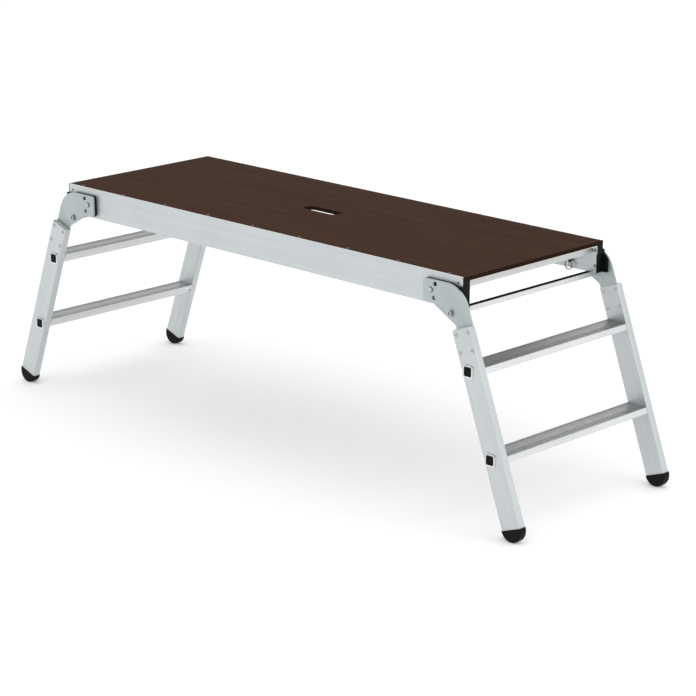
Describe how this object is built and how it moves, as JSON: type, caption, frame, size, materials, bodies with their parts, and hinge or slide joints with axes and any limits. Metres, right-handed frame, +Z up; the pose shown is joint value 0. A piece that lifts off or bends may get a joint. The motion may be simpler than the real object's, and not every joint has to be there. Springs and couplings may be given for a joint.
{
  "type": "folding work platform bench",
  "caption": "Long low work platform with a dark plywood deck on aluminium beams and folding ribbed step legs at both ends, locked by sprung pins.",
  "frame": {"origin": "centre of the footprint, on the floor", "axes": "+X along the deck, +Y across it, +Z up"},
  "size_m": [2.1864, 0.6696, 0.7046],
  "materials": {
    "deck_plywood": "dark brown film-faced plywood",
    "beam_aluminium": "satin extruded",
    "frame_aluminium": "satin mill finish",
    "stile_aluminium": "satin extruded",
    "hinge_aluminium": "matt grey plate",
    "step_aluminium": "ribbed extrusion",
    "rivet_metal": "bright rivet heads",
    "zinc_steel": "zinc plated",
    "black_plastic": "moulded, satin",
    "black_rubber": "moulded rubber, matt"
  },
  "bodies": {
    "platform": {"deck_panel": "deck_plywood", "beam_front": "beam_aluminium", "beam_rear": "beam_aluminium", "end_rail_right": "frame_aluminium", "end_rail_left": "frame_aluminium", "cross_members_inner": "frame_aluminium", "cross_members_outer": "frame_aluminium", "rail_cleats": "frame_aluminium", "cleat_rivets": "rivet_metal", "deck_rivets_rear": "rivet_metal", "deck_rivets_front": "rivet_metal", "cap_screws": "rivet_metal", "pivot_bolts": "zinc_steel", "pin_guides": "zinc_steel", "pin_springs": "zinc_steel", "end_caps_right": "black_plastic", "hinge_spacer_front_right": "black_plastic", "hinge_spacer_rear_right": "black_plastic", "end_caps_left": "black_plastic", "hinge_spacer_front_left": "black_plastic", "hinge_spacer_rear_left": "black_plastic"},
    "right_leg": {"hinge_plate_front_right": "hinge_aluminium", "hinge_plate_rear_right": "hinge_aluminium", "stile_front_right": "stile_aluminium", "stile_rear_right": "stile_aluminium", "foot_front_right": "black_rubber", "foot_rear_right": "black_rubber", "pivot_bushes_right": "black_plastic", "stile_packers_right": "frame_aluminium", "crossbar_bolts_right": "zinc_steel", "hinge_rivets_right": "rivet_metal", "step_plugs_right": "black_plastic", "crossbar_right": "frame_aluminium", "buffer_strip_right": "black_rubber", "upper_step_right": "step_aluminium", "lower_step_right": "step_aluminium"},
    "left_leg": {"hinge_plate_front_left": "hinge_aluminium", "hinge_plate_rear_left": "hinge_aluminium", "stile_front_left": "stile_aluminium", "stile_rear_left": "stile_aluminium", "foot_front_left": "black_rubber", "foot_rear_left": "black_rubber", "pivot_bushes_left": "black_plastic", "stile_packers_left": "frame_aluminium", "crossbar_bolts_left": "zinc_steel", "hinge_rivets_left": "rivet_metal", "step_plugs_left": "black_plastic", "crossbar_left": "frame_aluminium", "buffer_strip_left": "black_rubber", "upper_step_left": "step_aluminium", "lower_step_left": "step_aluminium"},
    "lock_pin_front_right": {"lock_pin_front_right": "zinc_steel"},
    "lock_pin_rear_right": {"lock_pin_rear_right": "zinc_steel"},
    "lock_pin_front_left": {"lock_pin_front_left": "zinc_steel"},
    "lock_pin_rear_left": {"lock_pin_rear_left": "zinc_steel"},
    "pull_ring_front_right": {"pull_ring_front_right": "zinc_steel"},
    "pull_ring_rear_right": {"pull_ring_rear_right": "zinc_steel"},
    "pull_ring_front_left": {"pull_ring_front_left": "zinc_steel"},
    "pull_ring_rear_left": {"pull_ring_rear_left": "zinc_steel"}
  },
  "joints": [
    {"name": "right_leg_fold", "type": "hinge", "parent": "platform", "child": "right_leg", "pos_m": [0.7375, 0, 0.651], "axis": [0, 1, 0], "range_deg": [0, 110]},
    {"name": "left_leg_fold", "type": "hinge", "parent": "platform", "child": "left_leg", "pos_m": [-0.7375, 0, 0.651], "axis": [0, -1, 0], "range_deg": [0, 110]},
    {"name": "lock_pin_front_right_slide", "type": "slide", "parent": "platform", "child": "lock_pin_front_right", "axis": [0, -1, 0], "range_m": [0, 0.0063], "stiffness_N_per_m": 900, "springref_m": 0.012},
    {"name": "pull_ring_front_right_swing", "type": "hinge", "parent": "lock_pin_front_right", "child": "pull_ring_front_right", "pos_m": [0.74943, -0.2653, 0.62948], "axis": [1, 0, 0], "range_deg": [0, 90]},
    {"name": "lock_pin_rear_right_slide", "type": "slide", "parent": "platform", "child": "lock_pin_rear_right", "axis": [0, 1, 0], "range_m": [0, 0.0063], "stiffness_N_per_m": 900, "springref_m": 0.012},
    {"name": "pull_ring_rear_right_swing", "type": "hinge", "parent": "lock_pin_rear_right", "child": "pull_ring_rear_right", "pos_m": [0.74943, 0.2653, 0.62948], "axis": [-1, 0, 0], "range_deg": [0, 90]},
    {"name": "lock_pin_front_left_slide", "type": "slide", "parent": "platform", "child": "lock_pin_front_left", "axis": [0, -1, 0], "range_m": [0, 0.0063], "stiffness_N_per_m": 900, "springref_m": 0.012},
    {"name": "pull_ring_front_left_swing", "type": "hinge", "parent": "lock_pin_front_left", "child": "pull_ring_front_left", "pos_m": [-0.74943, -0.2653, 0.62948], "axis": [1, 0, 0], "range_deg": [0, 90]},
    {"name": "lock_pin_rear_left_slide", "type": "slide", "parent": "platform", "child": "lock_pin_rear_left", "axis": [0, 1, 0], "range_m": [0, 0.0063], "stiffness_N_per_m": 900, "springref_m": 0.012},
    {"name": "pull_ring_rear_left_swing", "type": "hinge", "parent": "lock_pin_rear_left", "child": "pull_ring_rear_left", "pos_m": [-0.74943, 0.2653, 0.62948], "axis": [-1, 0, 0], "range_deg": [0, 90]}
  ]
}
